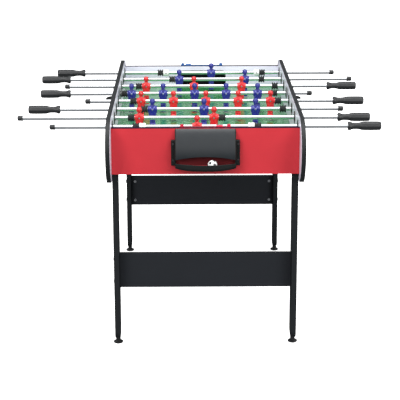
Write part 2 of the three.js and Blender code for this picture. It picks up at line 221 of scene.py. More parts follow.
def plate(
    bm, outline, low, high, place, edge=0.8, holes=(), look=0, faces=None, cuts=3, hole_look=None
):
    """A board from low to high, drawn in its own plane, with rounded edges; faces: its sides' looks."""
    caps = ([], [])
    for loop, outward in [(outline, -1)] + [(hole, 1) for hole in holes]:
        rows = []
        for step in range(cuts + 1):
            angle = math.pi / 2 * step / cuts
            points = grown(loop, outward * edge * (1 - math.sin(angle)))
            rows.append((points, edge * (1 - math.cos(angle))))
        levels = [(points, low + rise) for points, rise in rows]
        levels += [(points, high - rise) for points, rise in reversed(rows)]
        rings = [ring(bm, [place(u, v, w) for u, v in points]) for points, w in levels]
        rim = look if hole_look is None or outward < 0 else hole_look
        bands(bm, rings, rim)
        caps[0].append(rings[0])
        caps[1].append(rings[-1])
    for loops, face_look in zip(caps, faces or (look, look)):
        fill(bm, loops, face_look)


def turn(bm, profile, centre, place=along_x, direction=1, sides=48, closed=False, look=0, radius_at=None):
    """A profile of (along, radius) points turned about an axis through centre."""
    rings = []
    for along, radius in profile:
        points = []
        for i in range(sides if radius > 0 else 1):
            angle = 2 * math.pi * i / sides
            reach = radius_at(along, radius, angle) if radius_at else radius
            offset = place(reach * math.cos(angle), reach * math.sin(angle), direction * along)
            points.append(Vector(centre) + Vector(offset))
        rings.append(ring(bm, points))
    bands(bm, rings + rings[:1] if closed else rings, look)


def loft(bm, sections, sides=32, look=0):
    """A body through superellipse sections of (centre, half width, half depth, height, squareness)."""
    rings = []
    for (x, y), half_x, half_y, z, power in sections:
        points = []
        for i in range(sides):
            angle = 2 * math.pi * i / sides
            c, s = math.cos(angle), math.sin(angle)
            u = math.copysign(abs(c) ** (2 / power), c) * half_x
            v = math.copysign(abs(s) ** (2 / power), s) * half_y
            points.append((x + u, y + v, z))
        rings.append(ring(bm, points))
    bands(bm, rings, look)
    face(bm, rings[0], look)
    face(bm, rings[-1], look)


def modifier(obj, kind, **settings):
    made = obj.modifiers.new(kind.title(), kind)
    for key, value in settings.items():
        setattr(made, key, value)


def mesh_of(bm, name, looks, sharp=35):
    """The built mesh, shaded smooth with edges over sharp degrees kept."""
    bmesh.ops.remove_doubles(bm, verts=bm.verts, dist=1e-7)
    bmesh.ops.recalc_face_normals(bm, faces=bm.faces)
    mesh = bpy.data.meshes.new(name)
    bm.to_mesh(mesh)
    bm.free()
    for look in looks:
        mesh.materials.append(look)
    mesh.shade_smooth()
    mesh.set_sharp_from_angle(angle=math.radians(sharp))
    return mesh


def linked(name, data):
    obj = bpy.data.objects.new(name, data)
    bpy.context.scene.collection.objects.link(obj)
    return obj


def piece(name, bm, looks, body, replaces=(), sharp=35):
    """A finished piece of the object, riding on its body and standing for its CAD nodes."""
    obj = linked(name, mesh_of(bm, name, looks, sharp))
    modifier(obj, "WEIGHTED_NORMAL", keep_sharp=True)
    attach(obj, body)
    if replaces:
        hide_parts(*replaces)
    return obj


# ---- Materials ----


def srgb(red, green, blue):
    """A colour given as it looks on a screen, 0 to 255, made linear."""
    values = [channel / 255 for channel in (red, green, blue)]
    return tuple(v / 12.92 if v <= 0.04045 else ((v + 0.055) / 1.055) ** 2.4 for v in values) + (1.0,)


def scaled(color, factor):
    return tuple(min(1.0, channel * factor) for channel in color[:3]) + (1.0,)


def set_inputs(node, values):
    for key, value in values.items():
        node.inputs[key].default_value = value


class Nodes:
    """Short calls that add nodes to a tree and return their outputs."""

    def __init__(self, tree):
        self.tree = tree

    def node(self, kind, **settings):
        made = self.tree.nodes.new(kind)
        for key, value in settings.items():
            setattr(made, key, value)
        return made

    def join(self, source, target):
        if isinstance(source, bpy.types.NodeSocket):
            self.tree.links.new(source, target)
        else:
            target.default_value = source

    def spread(self, value, low, high, start=0.3, end=0.7):
        """value from start..end spread over low..high."""
        made = self.node("ShaderNodeMapRange")
        self.join(value, made.inputs["Value"])
        set_inputs(made, {"From Min": start, "From Max": end, "To Min": low, "To Max": high})
        return made.outputs["Result"]

    def math(self, operation, first, second=0.0):
        made = self.node("ShaderNodeMath", operation=operation)
        self.join(first, made.inputs[0])
        self.join(second, made.inputs[1])
        return made.outputs["Value"]

    def mix(self, factor, first, second):
        made = self.node("ShaderNodeMix", data_type="RGBA")
        self.join(factor, made.inputs[0])
        self.join(first, made.inputs[6])
        self.join(second, made.inputs[7])
        return made.outputs[2]

    def axes(self, vector):
        """A vector's X, Y and Z."""
        made = self.node("ShaderNodeSeparateXYZ")
        self.join(vector, made.inputs["Vector"])
        return made.outputs

    def seen(self):
        """1 for what the camera sees directly, 0 for light on its way between surfaces."""
        return self.node("ShaderNodeLightPath").outputs["Is Camera Ray"]


class Look(Nodes):
    """A material of one Principled shader.

    Texture scales are in features per metre, because the pieces' own coordinates are metres.
    """

    def __init__(self, name, metallic=0.0, specular=0.5, coat=0.0, coat_roughness=0.1):
        self.material = bpy.data.materials.new(name)
        self.material.use_nodes = True
        super().__init__(self.material.node_tree)
        self.shader = self.tree.nodes["Principled BSDF"]
        set_inputs(self.shader, {
            "Metallic": metallic, "Specular IOR Level": specular,
            "Coat Weight": coat, "Coat Roughness": coat_roughness,
        })
        self.place = self.node("ShaderNodeTexCoord").outputs["Object"]

    def noise(self, scale, detail=3.0, stretch=(1, 1, 1), distortion=0.0):
        """Smooth random values around 0.5."""
        mapping = self.node("ShaderNodeMapping")
        mapping.inputs["Scale"].default_value = stretch
        self.join(self.place, mapping.inputs["Vector"])
        made = self.node("ShaderNodeTexNoise")
        self.join(mapping.outputs["Vector"], made.inputs["Vector"])
        set_inputs(made, {"Scale": scale, "Detail": detail, "Distortion": distortion})
        return made.outputs[0]

    def cells(self, scale):
        """Distance to the nearest of many random points."""
        made = self.node("ShaderNodeTexVoronoi")
        self.join(self.place, made.inputs["Vector"])
        made.inputs["Scale"].default_value = scale
        return made.outputs["Distance"]

    def edges(self, start, end):
        """1 on sharp outer edges, which the players' plastic lightens as a painted sheen."""
        sharpness = self.node("ShaderNodeNewGeometry").outputs["Pointiness"]
        return self.spread(sharpness, 0.0, 1.0, start, end)

    def finish(self, color, roughness, heights=()):
        """heights are (value, distance in mm) pairs that roughen the surface one after another."""
        self.join(color, self.shader.inputs["Base Color"])
        self.join(roughness, self.shader.inputs["Roughness"])
        normal = None
        for value, distance in heights:
            bump = self.node("ShaderNodeBump")
            bump.inputs["Distance"].default_value = distance * MM
            self.join(value, bump.inputs["Height"])
            if normal:
                self.join(normal, bump.inputs["Normal"])
            normal = bump.outputs["Normal"]
        if normal:
            self.join(normal, self.shader.inputs["Normal"])
        return self.material


def laminate(name, color, roughness, specular, grain, along=(1, 14, 14)):
    """Foil on board: a slight orange peel and faint streaks along the board."""
    look = Look(name, specular=specular)
    streaks = look.noise(26, 5, along)
    base = look.mix(look.spread(look.noise(5, 4), 0, 1), scaled(color, 0.94), scaled(color, 1.06))
    base = look.mix(look.spread(streaks, 0, grain), base, scaled(color, 0.75))
    gloss = look.spread(look.noise(40, 5), roughness - 0.04, roughness + 0.05)
    return look.finish(base, gloss, [(look.noise(520, 2), 0.02), (streaks, 0.03)])


def moulded(name, color, roughness, specular=0.5, texture=900, depth=0.02, coat=0.0):
    """Injection-moulded plastic: a fine spark-eroded texture and faint flow marks."""
    look = Look(name, specular=specular, coat=coat, coat_roughness=0.25)
    flow = look.noise(22, 3, (1, 1, 0.35), 0.6)
    base = look.mix(look.spread(flow, 0, 1), scaled(color, 0.93), scaled(color, 1.07))
    gloss = look.spread(look.noise(90, 4), roughness - 0.04, roughness + 0.05)
    return look.finish(base, gloss, [(look.noise(texture, 2), depth)])


def rubber():
    look = Look("bumper rubber", specular=0.3)
    dust = look.spread(look.noise(160, 5), 0, 0.5, 0.5, 0.8)
    base = look.mix(dust, srgb(40, 42, 43), srgb(74, 75, 76))
    gloss = look.spread(look.noise(300, 3), 0.62, 0.8)
    return look.finish(base, gloss, [(look.noise(1400, 2), 0.06), (look.cells(420), 0.05)])


def chrome():
    """Polished tube: fine lines around it from polishing, and haze where hands touch it."""
    look = Look("chromed steel", metallic=1.0)
    haze = look.noise(14, 5)
    lines = look.noise(60, 3, (40, 1, 1))
    base = look.mix(look.spread(haze, 0, 1), srgb(216, 219, 222), srgb(236, 238, 240))
    gloss = look.spread(haze, 0.09, 0.2)
    return look.finish(base, gloss, [(lines, 0.006)])


def plated(name, metallic, scale, tones, gloss, texture):
    """Plated or blackened steel with faint stains."""
    look = Look(name, metallic=metallic)
    stain = look.noise(scale, 4)
    base = look.mix(look.spread(stain, 0, 1), *tones)
    return look.finish(base, look.spread(stain, *gloss), [(look.noise(*texture), 0.02)])


CENTRE_CIRCLE = 105
CENTRE_SPOT = 4.5
FIELD_BOXES = ((165, 165), (112, 80))
ARC = {"from_end": 125, "radius": 70}


def near(look, value, target, half):
    """1 where value is within half of target, in metres."""
    off = look.math("ABSOLUTE", look.math("SUBTRACT", value, target * MM))
    return look.math("LESS_THAN", off, half * MM)


def field_lines(look, half=1.4):
    """1 on the pitch's lines: halfway line, circle, spot, and two boxes with an arc at each end."""
    place = look.axes(look.place)
    x = look.math("ABSOLUTE", look.math("SUBTRACT", place["X"], MID_X * MM))
    y = look.math("ABSOLUTE", place["Y"])

    def distance(across, centre_y):
        dy = look.math("SUBTRACT", y, centre_y * MM)
        squares = look.math("ADD", look.math("POWER", across, 2.0), look.math("POWER", dy, 2.0))
        return look.math("SQRT", squares)

    def both(first, second):
        return look.math("MULTIPLY", first, second)

    def below(value, limit):
        return look.math("LESS_THAN", value, limit * MM)

    def above(value, limit):
        return look.math("GREATER_THAN", value, limit * MM)

    from_middle = distance(x, 0)
    parts = [near(look, y, 0, half), near(look, from_middle, CENTRE_CIRCLE, half)]
    parts.append(below(from_middle, CENTRE_SPOT))
    for half_width, depth in FIELD_BOXES:
        front = END_INNER - depth
        parts.append(both(near(look, y, front, half), below(x, half_width + half)))
        parts.append(both(near(look, x, half_width, half), above(y, front)))
    arc_line = near(look, distance(x, END_INNER - ARC["from_end"]), ARC["radius"], half)
    parts.append(both(arc_line, below(y, END_INNER - FIELD_BOXES[0][1])))
    whole = parts[0]
    for part in parts[1:]:
        whole = look.math("MAXIMUM", whole, part)
    return whole


def pitch():
    """Printed green foil under a clear coat, with a fine grass-like print."""
    look = Look("playing surface", specular=0.5, coat=0.35, coat_roughness=0.12)
    green = srgb(50, 132, 76)
    print_grain = look.noise(700, 3)
    base = look.mix(look.spread(print_grain, 0, 1), scaled(green, 0.9), scaled(green, 1.1))
    base = look.mix(look.spread(look.noise(5, 2), 0, 0.3), base, scaled(green, 1.2))
    worn_line = look.spread(look.noise(240, 4), 0.35, 0.6)
    base = look.mix(look.math("MULTIPLY", field_lines(look), worn_line), base, srgb(196, 216, 196))
    gloss = look.spread(look.noise(9, 3), 0.2, 0.28)
    return look.finish(base, gloss, [(look.noise(30, 1), 0.02), (print_grain, 0.008)])


def player_plastic(name, color):
    """Glossy styrene of one colour, with slight sink marks and a painted sheen that lightens sharp edges
    and high spots.
    """
    look = Look(name, specular=0.5, coat=0.25, coat_roughness=0.12)
    flow = look.noise(70, 3, (1, 1, 0.5), 0.8)
    base = look.mix(look.spread(flow, 0, 1), scaled(color, 0.86), scaled(color, 1.1))
    # Painted sheen: sharp edges and high spots made lighter in colour.
    painted_edge_sheen = look.spread(look.edges(0.53, 0.62), 0, 0.35, 0, 1)
    base = look.mix(painted_edge_sheen, base, scaled(color, 1.7))
    gloss = look.spread(look.noise(260, 3), 0.24, 0.36)
    return look.finish(base, gloss, [(look.noise(180, 2), 0.1), (look.noise(1500, 2), 0.015)])


BLACK_BOARD = laminate("black laminate", srgb(30, 33, 35), 0.5, 0.3, 0.3)
WHITE_BOARD = laminate("white laminate", srgb(234, 231, 247), 0.34, 0.45, 0.06)
RED_BOARD = laminate("red laminate", srgb(208, 53, 62), 0.44, 0.3, 0.08)
# Painted shade: a darker red for the end board under the ball return's hood.
PAINTED_SHADE_SHEET = laminate("dark red backing", srgb(112, 34, 38), 0.6, 0.15, 0.2)
EDGE_BAND = laminate("edge band", srgb(40, 26, 44), 0.8, 0.02, 0.1)
LEG_BOARD = laminate("leg laminate", srgb(29, 32, 35), 0.6, 0.22, 0.3, (14, 14, 1))
STRETCHER_BOARD = laminate("stretcher laminate", srgb(33, 36, 41), 0.58, 0.24, 0.2)
PITCH = pitch()
CHROME = chrome()
ZINC_TONES = (srgb(150, 152, 158), srgb(202, 204, 206))
BLACK_TONES = (srgb(44, 45, 47), srgb(82, 84, 87))
ZINC = plated("zinc plated steel", 1.0, 260, ZINC_TONES, (0.26, 0.44), (900, 3))
BLACK_STEEL = plated("black oxide steel", 0.7, 300, BLACK_TONES, (0.34, 0.5), (1100, 3))
RUBBER = rubber()
GRIP = moulded("grip plastic", srgb(34, 36, 38), 0.45, 0.5, 1300, 0.04)
CAP_PLASTIC = moulded("cap plastic", srgb(36, 38, 39), 0.42)
COLLAR = moulded("white plastic", srgb(236, 236, 234), 0.36, 0.5, 1100, 0.012)
MOULDING = moulded("black moulding", srgb(22, 28, 33), 0.32, 0.5, 1000, 0.006, coat=0.2)
TRAY = moulded("tray moulding", srgb(18, 22, 22), 0.5, 0.28, 1000, 0.015)
BEARING = moulded("bearing plastic", srgb(32, 33, 35), 0.45)
FOOT = moulded("foot plastic", srgb(28, 29, 31), 0.55, 0.4, 1200, 0.04)
BALL_WHITE = moulded("ball white", srgb(240, 240, 238), 0.35, 0.5, 1200, 0.015)
BALL_BLACK = moulded("ball black", srgb(26, 26, 28), 0.4, 0.5, 1200, 0.02)
TEAM = {
    "red": player_plastic("red plastic", srgb(222, 40, 44)),
    "blue": player_plastic("blue plastic", srgb(34, 38, 136)),
}
# Painted highlight: paler copies of the team plastics, for the light V on each player's chest.
HIGHLIGHT_PLASTIC = {
    "red": player_plastic("pale red painted highlight", srgb(244, 116, 118)),
    "blue": player_plastic("pale blue painted highlight", srgb(132, 138, 226)),
}
SCORER = {
    "front": player_plastic("red scorer plastic", srgb(206, 30, 62)),
    "rear": player_plastic("blue scorer plastic", srgb(44, 92, 158)),
}
# Painted shade: darker copies of the scorer plastics, for the rail's strip and rib, whose front face lies
# in shade.
SCORER_SHADED = {
    "front": player_plastic("red scorer plastic in painted shade", srgb(120, 26, 46)),
    "rear": player_plastic("blue scorer plastic in painted shade", srgb(52, 84, 132)),
}

# ---- Fasteners ----


def hex_radius(across_flats):
    """Turns a round rim into a hexagon of that width across its flats."""
    def reach(_along, radius, angle):
        wedge = (angle % (math.pi / 3)) - math.pi / 6
        return min(radius, across_flats / 2 / math.cos(wedge))
    return reach


def screw_head(bm, centre, place, direction, radius=4.0, height=2.2, look=0):
    """A domed head with a hexagon socket."""
    socket = radius * 0.5
    profile = [
        (-0.4, 0), (-0.4, radius), (height * 0.35, radius), (height * 0.75, radius * 0.9),
        (height, radius * 0.68), (height, socket + 0.2), (height - 0.2, socket),
    ]
    turn(bm, profile, centre, place, direction, 36, look=look)
    hexagon = hex_radius(socket * 1.75)

    def reach(along, edge, angle):
        return edge if along > height * 0.5 else hexagon(along, edge, angle)

    floor = [(height - 0.2, socket), (height * 0.3, socket), (height * 0.3, 0)]
    turn(bm, floor, centre, place, direction, 36, look=look, radius_at=reach)


def nut(bm, centre, place, direction, flats, height):
    """A chamfered hexagon nut with the end of its screw."""
    corner = flats / 2 / math.cos(math.pi / 6)
    profile = [
        (-0.4, 0), (-0.4, corner), (height * 0.8, corner), (height, flats / 2 * 0.96),
        (height, flats * 0.26), (height + 0.6, flats * 0.24), (height + 0.7, flats * 0.18),
        (height + 0.7, 0),
    ]
    turn(bm, profile, centre, place, direction, 36, radius_at=hex_radius(flats))


# ---- Cabinet ----


def side_outline():
    """Straight top and bottom edges, and at each end a nose that curves back above and below."""
    upper_y = NOSE["y"] - NOSE["upper_depth"]
    lower_y = NOSE["y"] - NOSE["lower_radius"]
    lower = (NOSE["lower_radius"], NOSE["lower_radius"])
    upper = (NOSE["upper_depth"], SIDE_HIGH.z - NOSE["z"])
    drop = math.degrees(math.asin((NOSE["z"] - SIDE_LOW.z) / NOSE["lower_radius"]))
    points = arc((lower_y, NOSE["z"]), lower, -drop, 0, 14)
    points += arc((upper_y, NOSE["z"]), upper, 0, 90, 16)[1:]
    points += arc((-upper_y, NOSE["z"]), upper, 90, 180, 16)
    points += arc((-lower_y, NOSE["z"]), lower, 180, 180 + drop, 14)[1:]
    return points


def side_panel(name, side):
    """A black board with a white inner lining, bored for the rods and for serving the ball."""
    entry_low, entry_high = box_mm(f"ball_entry_{name}")
    entry_z = entry_high.z - ENTRY["flange"]
    bores = [circle((place.y, place.z), 9.0, 24) for place in RODS.values()]
    bores.append(circle((0, entry_z), ENTRY["sleeve"] + 0.3, 40))
    bm = bmesh.new()
    outline = side_outline()
    low, high = span(side, SIDE_INNER + LINING, SIDE_OUTER, MID_X)
    plate(bm, outline, low, high, along_x, 1.2, bores)
    low, high = span(side, SIDE_INNER, SIDE_INNER + LINING + 0.1, MID_X)
    plate(bm, grown(outline, -0.25), low, high, along_x, 0.2, bores, look=1, cuts=1)
    looks = [BLACK_BOARD, WHITE_BOARD]
    piece(f"side_board_{name}", bm, looks, TABLE, [f"side_panel_{name}"])


def bearings(name, side):
    """Flanged bushes through the side board, each with its ring nut outside."""
    bm = bmesh.new()
    inner = SIDE_INNER - BEARING_THICKNESS
    sleeve_end = SIDE_OUTER + 5.5
    profile = [
        (inner, ROD_BORE + 0.15), (inner, 9.5), (inner + 0.3, 10), (inner + 1.1, 10.3), (inner + 1.4, 11),
        (inner + 1.6, 18.6), (inner + 2.2, 19.7), (inner + 3.3, 20), (SIDE_INNER - 0.05, 20),
        (SIDE_INNER - 0.05, 8.8), (sleeve_end, 8.8), (sleeve_end, ROD_BORE + 0.15),
    ]
    ring_nut = [
        (SIDE_OUTER + along, radius) for along, radius in (
            (0.1, 8.9), (0.1, 15.5), (1.2, 15.5), (1.6, 13.6), (4.0, 13.2), (4.6, 12.4), (4.6, 8.9),
        )
    ]

    def notched(along, radius, angle):
        deep = radius > 13.1 and along > SIDE_OUTER + 1.4
        return radius - 1.1 if deep and (math.degrees(angle) % 30) < 9 else radius

    for place in RODS.values():
        centre = (MID_X, place.y, place.z)
        turn(bm, profile, centre, along_x, side, 48, closed=True)
        turn(bm, ring_nut, centre, along_x, side, 120, closed=True, radius_at=notched)
    piece(f"rod_bearings_{name}", bm, [BEARING], TABLE)


def goal_outline():
    """The mouth stands on the field and has rounded upper corners."""
    half, corner = GOAL["half_width"], GOAL["corner"]
    top = FIELD_TOP + GOAL["height"]
    right = arc((MID_X + half - corner, top - corner), (corner, corner), 0, 90, 8)
    left = arc((MID_X - half + corner, top - corner), (corner, corner), 90, 180, 8)
    return [(MID_X - half, FIELD_TOP), (MID_X + half, FIELD_TOP)] + right + left


def end_panel(name, side):
    """A red board with a white inner lining, a dark band on its top edge and the goal mouth."""
    band_height = 0.9
    outline = rectangle(END_LOW.x, END_LOW.z, END_HIGH.x, END_HIGH.z - band_height)
    goal = goal_outline()
    bm = bmesh.new()
    low, high = span(side, END_INNER + LINING, END_OUTER)
    plate(bm, outline, low, high, along_y, 0.7, [goal], hole_look=2)
    low, high = span(side, END_INNER, END_INNER + LINING + 0.1)
    plate(bm, grown(outline, -0.2), low, high, along_y, 0.15, [goal], look=1, cuts=1)
    strip = rectangle(END_LOW.x, END_HIGH.z - band_height - 0.6, END_HIGH.x, END_HIGH.z)
    low, high = span(side, END_INNER - 0.05, END_OUTER + 0.05)
    plate(bm, strip, low, high, along_y, 0.5, look=2)
    looks = [RED_BOARD, WHITE_BOARD, EDGE_BAND]
    piece(f"end_board_{name}", bm, looks, TABLE, [f"end_panel_{name}"])


def playfield():
    bm = bmesh.new()
    outline = rectangle(FIELD_LOW.x, FIELD_LOW.y, FIELD_HIGH.x, FIELD_HIGH.y)
    plate(bm, outline, FIELD_LOW.z, FIELD_HIGH.z, along_z, 0.3, look=1, faces=(1, 0), cuts=2)
    piece("playing_surface", bm, [PITCH, BLACK_BOARD], TABLE, ["playfield"])


LEG_BOLT_HEIGHTS = (566, 606)
COVER_HEIGHTS = (592, 642, 692)


def cabinet_screws(name, side):
    """Leg bolts, and cover discs over the end boards' screws, on the side board's outer face."""
    bm = bmesh.new()
    for end in ENDS.values():
        for height in LEG_BOLT_HEIGHTS:
            centre = (MID_X + side * SIDE_OUTER, end * LEG_Y, height)
            screw_head(bm, centre, along_x, side, 7.5, 3.2)
        for height in COVER_HEIGHTS:
            centre = (MID_X + side * SIDE_OUTER, end * (END_INNER + END_OUTER) / 2, height)
            disc = [(-0.3, 0), (-0.3, 6), (0.5, 6), (1.1, 5.4), (1.3, 4.2), (1.4, 0)]
            turn(bm, disc, centre, along_x, side, 36, look=1)
    piece(f"side_fasteners_{name}", bm, [ZINC, CAP_PLASTIC], TABLE)


# ---- Legs, stretchers and feet ----

TOE_RADIUS = 24
BOLT_FROM_TOP = 21
BOLT_FROM_BOTTOM = 19
BARREL_FROM_LEG = 15
THREAD_PITCH = 1.25


def bolt_heights():
    return (STRETCHER_LOW.z + BOLT_FROM_BOTTOM, STRETCHER_HIGH.z - BOLT_FROM_TOP)


def leg(end_name, side_name):
    node = f"leg_{end_name}_{side_name}"
    low, high = box_mm(node)
    left = arc((low.y + TOE_RADIUS, low.z + TOE_RADIUS), (TOE_RADIUS, TOE_RADIUS), 180, 270, 12)
    right = arc((high.y - TOE_RADIUS, low.z + TOE_RADIUS), (TOE_RADIUS, TOE_RADIUS), 270, 360, 12)
    outline = left + right + [(high.y, high.z), (low.y, high.z)]
    bm = bmesh.new()
    plate(bm, outline, low.x, high.x, along_x, 1.4)
    piece(f"{node}_board", bm, [LEG_BOARD], TABLE, [node])


def stretcher(name, side):
    """A board between two legs, with the barrel nuts of its bolts on the inward face."""
    node = f"stretcher_{name}"
    low, high = box_mm(node)
    bm = bmesh.new()
    plate(bm, rectangle(low.x, low.z, high.x, high.z), low.y, high.y, along_y, 1.0)
    piece(f"{node}_board", bm, [STRETCHER_BOARD], TABLE, [node])
    bm = bmesh.new()
    inward_y = low.y if side > 0 else high.y
    for x_side in SIDES.values():
        for z in bolt_heights():
            barrel_x = MID_X + x_side * (LEG_INNER - BARREL_FROM_LEG)
            barrel = [(-0.5, 0), (-0.5, 5), (0.25, 5), (0.5, 4.7), (0.5, 1.4), (0.1, 1.2), (0.1, 0)]
            turn(bm, barrel, (barrel_x, inward_y, z), along_y, -side, 32)
            head = (MID_X + x_side * LEG_OUTER, (low.y + high.y) / 2, z)
            screw_head(bm, head, along_x, x_side, 7.0, 3.0, look=1)
    piece(f"{node}_bolts", bm, [ZINC, BLACK_STEEL], TABLE)


def foot(end_name, side_name):
    """A moulded disc with a hexagon neck on a threaded stem."""
    node = f"foot_{end_name}_{side_name}"
    low, high = box_mm(node)
    centre = ((low.x + high.x) / 2, (low.y + high.y) / 2, 0)
    bm = bmesh.new()
    disc = [
        (0, 0), (0, 12.6), (0.5, 13.6), (1.4, 14.7), (2.6, 15), (4.6, 15), (6.0, 14.4), (7.0, 12.6),
        (8.2, 9.6), (9.2, 8.2), (10.0, 7.5), (16.0, 7.5), (16.6, 7.2), (16.6, 0),
    ]
    turn(bm, disc, centre, along_z, 1, 48)
    hexagon = [(16.4, 0), (16.4, 7.4), (20.6, 7.4), (21.4, 6.7), (21.4, 0)]
    turn(bm, hexagon, centre, along_z, 1, 48, look=1, radius_at=hex_radius(13))
    stem = [(21.3, 0), (21.3, 3.3)]
    z = 21.6
    while z < high.z - 1.2:
        stem += [(z, 3.35), (z + THREAD_PITCH * 0.5, 4.0)]
        z += THREAD_PITCH
    stem += [(high.z - 0.6, 3.3), (high.z, 2.6), (high.z, 0)]
    turn(bm, stem, centre, along_z, 1, 24, look=1)
    piece(f"{node}_leveller", bm, [FOOT, BLACK_STEEL], node, [node])


# ---- Ball returns ----

HOOD = {
    "half": 92.8, "side_bottom": 621, "arch": 10, "top": 711, "depth": 36, "wall": 2.5, "edge": 3.2,
    "upper_drop": 16, "lower_drop": 52,
}
WING = {"half": 105, "depth": 14, "top": 678, "bottom": 598.7}
TRAY_SIZE = {
    "half": 92.6, "side_depth": 32, "depth": 57, "bottom": 588.8, "flat": 45, "rise": 4, "lip": 609.5,
}
BACK_GAP = 0.3


def outward(side, x, depth, z):
    """A point outside an end board: x from the middle, depth out from the board."""
    return (MID_X - side * x, side * (END_OUTER + depth), z)


def bezier(start, first, second, end, t):
    weights = ((1 - t) ** 3, 3 * t * (1 - t) ** 2, 3 * t * t * (1 - t), t**3)
    return tuple(sum(w * p[i] for w, p in zip(weights, (start, first, second, end))) for i in range(2))


def hood_curve(t, inset=0.0):
    """Depth and height of the hood's front, from the board's top edge down to the lower edge."""
    top, depth = HOOD["top"] - inset, HOOD["depth"] - inset
    upper = (depth * 0.45, top - HOOD["upper_drop"])
    lower = (depth, top - HOOD["lower_drop"])
    return bezier((BACK_GAP, top), upper, lower, (depth, HOOD["side_bottom"]), t)


def hood_low(x):
    """Height of the hood's arched lower edge at x."""
    half, rise = HOOD["half"], HOOD["arch"]
    radius = (half**2 + rise**2) / (2 * rise)
    return HOOD["side_bottom"] + rise - radius + math.sqrt(radius**2 - x**2)


def hood_reach(z):
    """How far along the hood's curve the height z is."""
    low, high = 0.0, 1.0
    for _ in range(24):
        middle = (low + high) / 2
        low, high = (middle, high) if hood_curve(middle)[1] > z else (low, middle)
    return (low + high) / 2


def ball_return(name, side):
    """Hood, wings and tray: three moulded shapes that meet as one part around the goal mouth."""
    node = f"ball_return_{name}"
    down = 24
    bm = bmesh.new()
    half, edge = HOOD["half"], HOOD["edge"]
    flat = half - edge
    half_columns, edge_steps = 14, 6
    columns = [(flat * i / half_columns, 0.0) for i in range(-half_columns, half_columns + 1)]
    for step in range(1, edge_steps + 1):
        angle = math.pi / 2 * step / edge_steps
        turned = (flat + edge * math.sin(angle), edge * (1 - math.cos(angle)))
        columns = [(-turned[0], turned[1])] + columns + [turned]
    rows = []
    for x, inset in columns:
        end = hood_reach(hood_low(x))
        points = [hood_curve(end * j / down, inset) for j in range(down + 1)]
        rows.append(ring(bm, [outward(side, x, *point) for point in points]))
    # The rounded sides and end faces take the darker, less glossy tray moulding: painted shade for the
    # dark lines along the hood's sides.
    for i, (first, second) in enumerate(zip(rows, rows[1:])):
        cheek = abs(columns[i][0] + columns[i + 1][0]) / 2 > flat
        band(bm, first, second, int(cheek), closed=False)
    for row, x in ((rows[0], -half), (rows[-1], half)):
        back = ring(bm, [outward(side, x, BACK_GAP, HOOD["side_bottom"])])
        face(bm, row + back, 1)
    shell(piece(f"{node}_hood", bm, [MOULDING, TRAY], TABLE, [node]), 0.8)
    tray(node, side)
    # A dark red plate of painted shade on the board under the hood.
    painted_shade_sheet(node, side)
    wings(node, side)


def shell(obj, bevel):
    """Gives an open skin its wall, on the inside, and rounds the rims."""
    obj.modifiers.clear()
    modifier(obj, "SOLIDIFY", thickness=HOOD["wall"] * MM, offset=-1, use_even_offset=True)
    limits = {"limit_method": "ANGLE", "angle_limit": math.radians(40)}
    modifier(obj, "BEVEL", width=bevel * MM, segments=3, **limits)
    modifier(obj, "WEIGHTED_NORMAL", keep_sharp=True)


def tray_depth(x):
    size = TRAY_SIZE
    sag = size["depth"] - size["side_depth"]
    radius = (size["half"] ** 2 + sag**2) / (2 * sag)
    return size["depth"] - radius + math.sqrt(radius**2 - x**2)


def tray_floor(x):
    size = TRAY_SIZE
    beyond = max(0.0, abs(x) - size["flat"]) / (size["half"] - size["flat"])
    return size["bottom"] + size["rise"] * beyond**1.6


def tray_section(x):
    """Depth and height from the board out along the floor, up round the front and over the lip."""
    depth, floor, lip = tray_depth(x), tray_floor(x), TRAY_SIZE["lip"]
    bend = min(9.0, depth * 0.4, (lip - floor) * 0.7)
    flat = [(BACK_GAP + (depth - bend - BACK_GAP) * i / 5, floor) for i in range(6)]
    corner = arc((depth - bend, floor + bend), (bend, bend), -90, 0, 7)[1:]
    return flat + corner + [(depth, lip - 2.5), (depth, lip)]


def tray(node, side):
    """A shallow open tray whose front bulges out, with a rolled lip."""
    bm = bmesh.new()
    across = 40
    half = TRAY_SIZE["half"]
    rows = []
    for i in range(across + 1):
        x = half * (2 * i / across - 1)
        rows.append(ring(bm, [outward(side, x, *point) for point in tray_section(x)]))
    bands(bm, rows, closed=False)
    for row, x in ((rows[0], -half), (rows[-1], half)):
        face(bm, row + ring(bm, [outward(side, x, BACK_GAP, TRAY_SIZE["lip"])]))
    shell(piece(f"{node}_tray", bm, [TRAY], TABLE), 0.9)


def painted_shade_sheet(node, side):
    """A thin dark red plate on the board behind the opening: painted shade for the board in the hood's
    shadow.
    """
    low, high = span(side, END_OUTER + 0.04, END_OUTER + BACK_GAP - 0.04)
    half = HOOD["half"] - 0.3
    shape = rectangle(MID_X - half, TRAY_SIZE["bottom"] + 8, MID_X + half, HOOD["side_bottom"] + 12)
    bm = bmesh.new()
    plate(bm, rounded(shape, 2), low, high, along_y, 0.08, cuts=1)
    piece(f"{node}_backing", bm, [PAINTED_SHADE_SHEET], TABLE)


